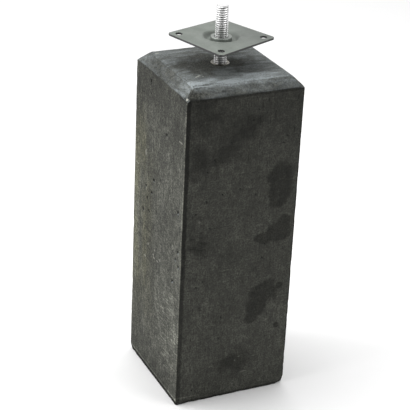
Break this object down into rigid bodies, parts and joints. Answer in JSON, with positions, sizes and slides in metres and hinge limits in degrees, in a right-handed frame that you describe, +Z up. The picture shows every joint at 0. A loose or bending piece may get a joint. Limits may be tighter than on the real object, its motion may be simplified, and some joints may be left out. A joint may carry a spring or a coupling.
{
  "type": "concrete pier block",
  "caption": "Square cast-concrete pier with a chamfered top and a dished steel post plate that screws up and down a threaded rod set in the block.",
  "frame": {"origin": "middle of the block's underside, on the rod's axis", "axes": "+Z up along the rod, +X and +Y square to the block's sides"},
  "size_m": [0.18, 0.18, 0.5845],
  "materials": {
    "concrete": "anthracite cast concrete, smooth from the mould, with pinholes, dark stains and pale lime bloom",
    "socket_steel": "zinc-plated steel rim, slightly stained by cement",
    "bright_zinc": "bright zinc-plated thread",
    "galvanised_steel": "matt grey-green galvanised sheet",
    "collar_steel": "galvanised steel, brighter on its worn edge"
  },
  "bodies": {
    "pier": {"concrete_block": "concrete", "threaded_socket": "socket_steel", "threaded_rod": "bright_zinc"},
    "post_plate": {"adjusting_plate": "galvanised_steel", "plate_collar": "collar_steel"}
  },
  "joints": [
    {"name": "plate_height", "type": "slide", "parent": "pier", "child": "post_plate", "axis": [0, 0, 1], "range_m": [-0.029, 0.045]}
  ]
}
